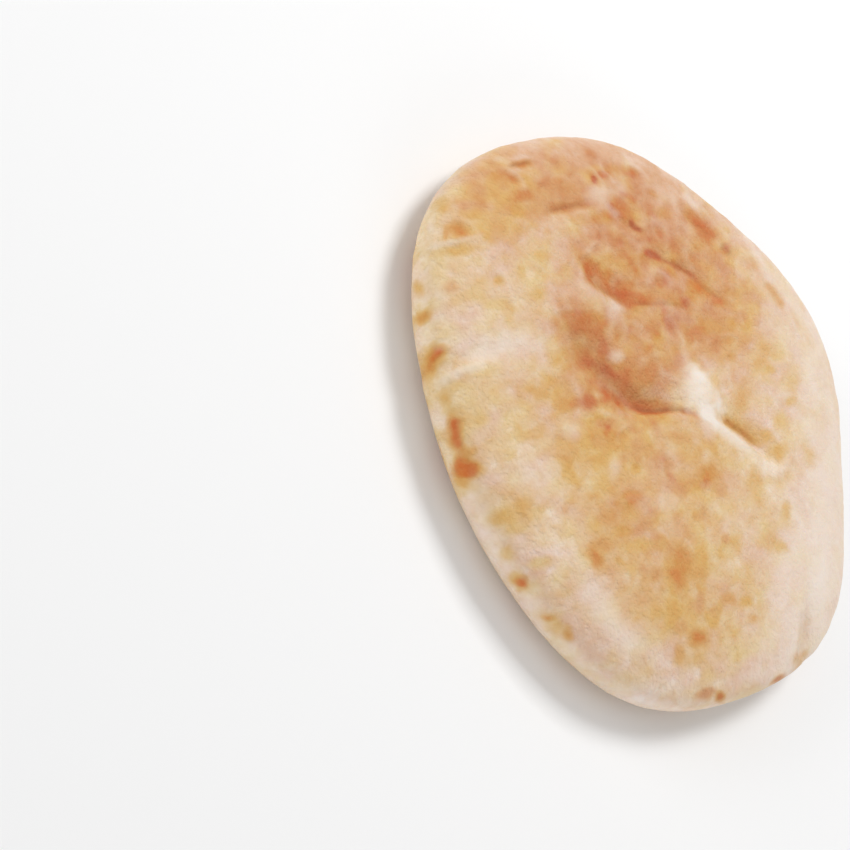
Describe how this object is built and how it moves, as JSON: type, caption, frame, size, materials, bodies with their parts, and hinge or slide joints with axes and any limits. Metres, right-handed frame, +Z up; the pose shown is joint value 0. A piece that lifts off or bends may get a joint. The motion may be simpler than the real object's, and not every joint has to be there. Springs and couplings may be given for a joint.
{
  "type": "pita bread",
  "caption": "Puffed round pocket flatbread lying flat, with a soft blunt rim, a puckered middle, a diagonal crease and a browned, mottled upper crust.",
  "frame": {"origin": "on the surface the bread rests on, under the middle of its box", "axes": "+Z up through the shown crust, -Y towards the near side, +X to the right seen from there"},
  "size_m": [0.1666, 0.1656, 0.0238],
  "materials": {
    "crust": "matt baked crust, cream to toasted brown"
  },
  "bodies": {
    "root": {"pita": "crust"}
  },
  "joints": []
}
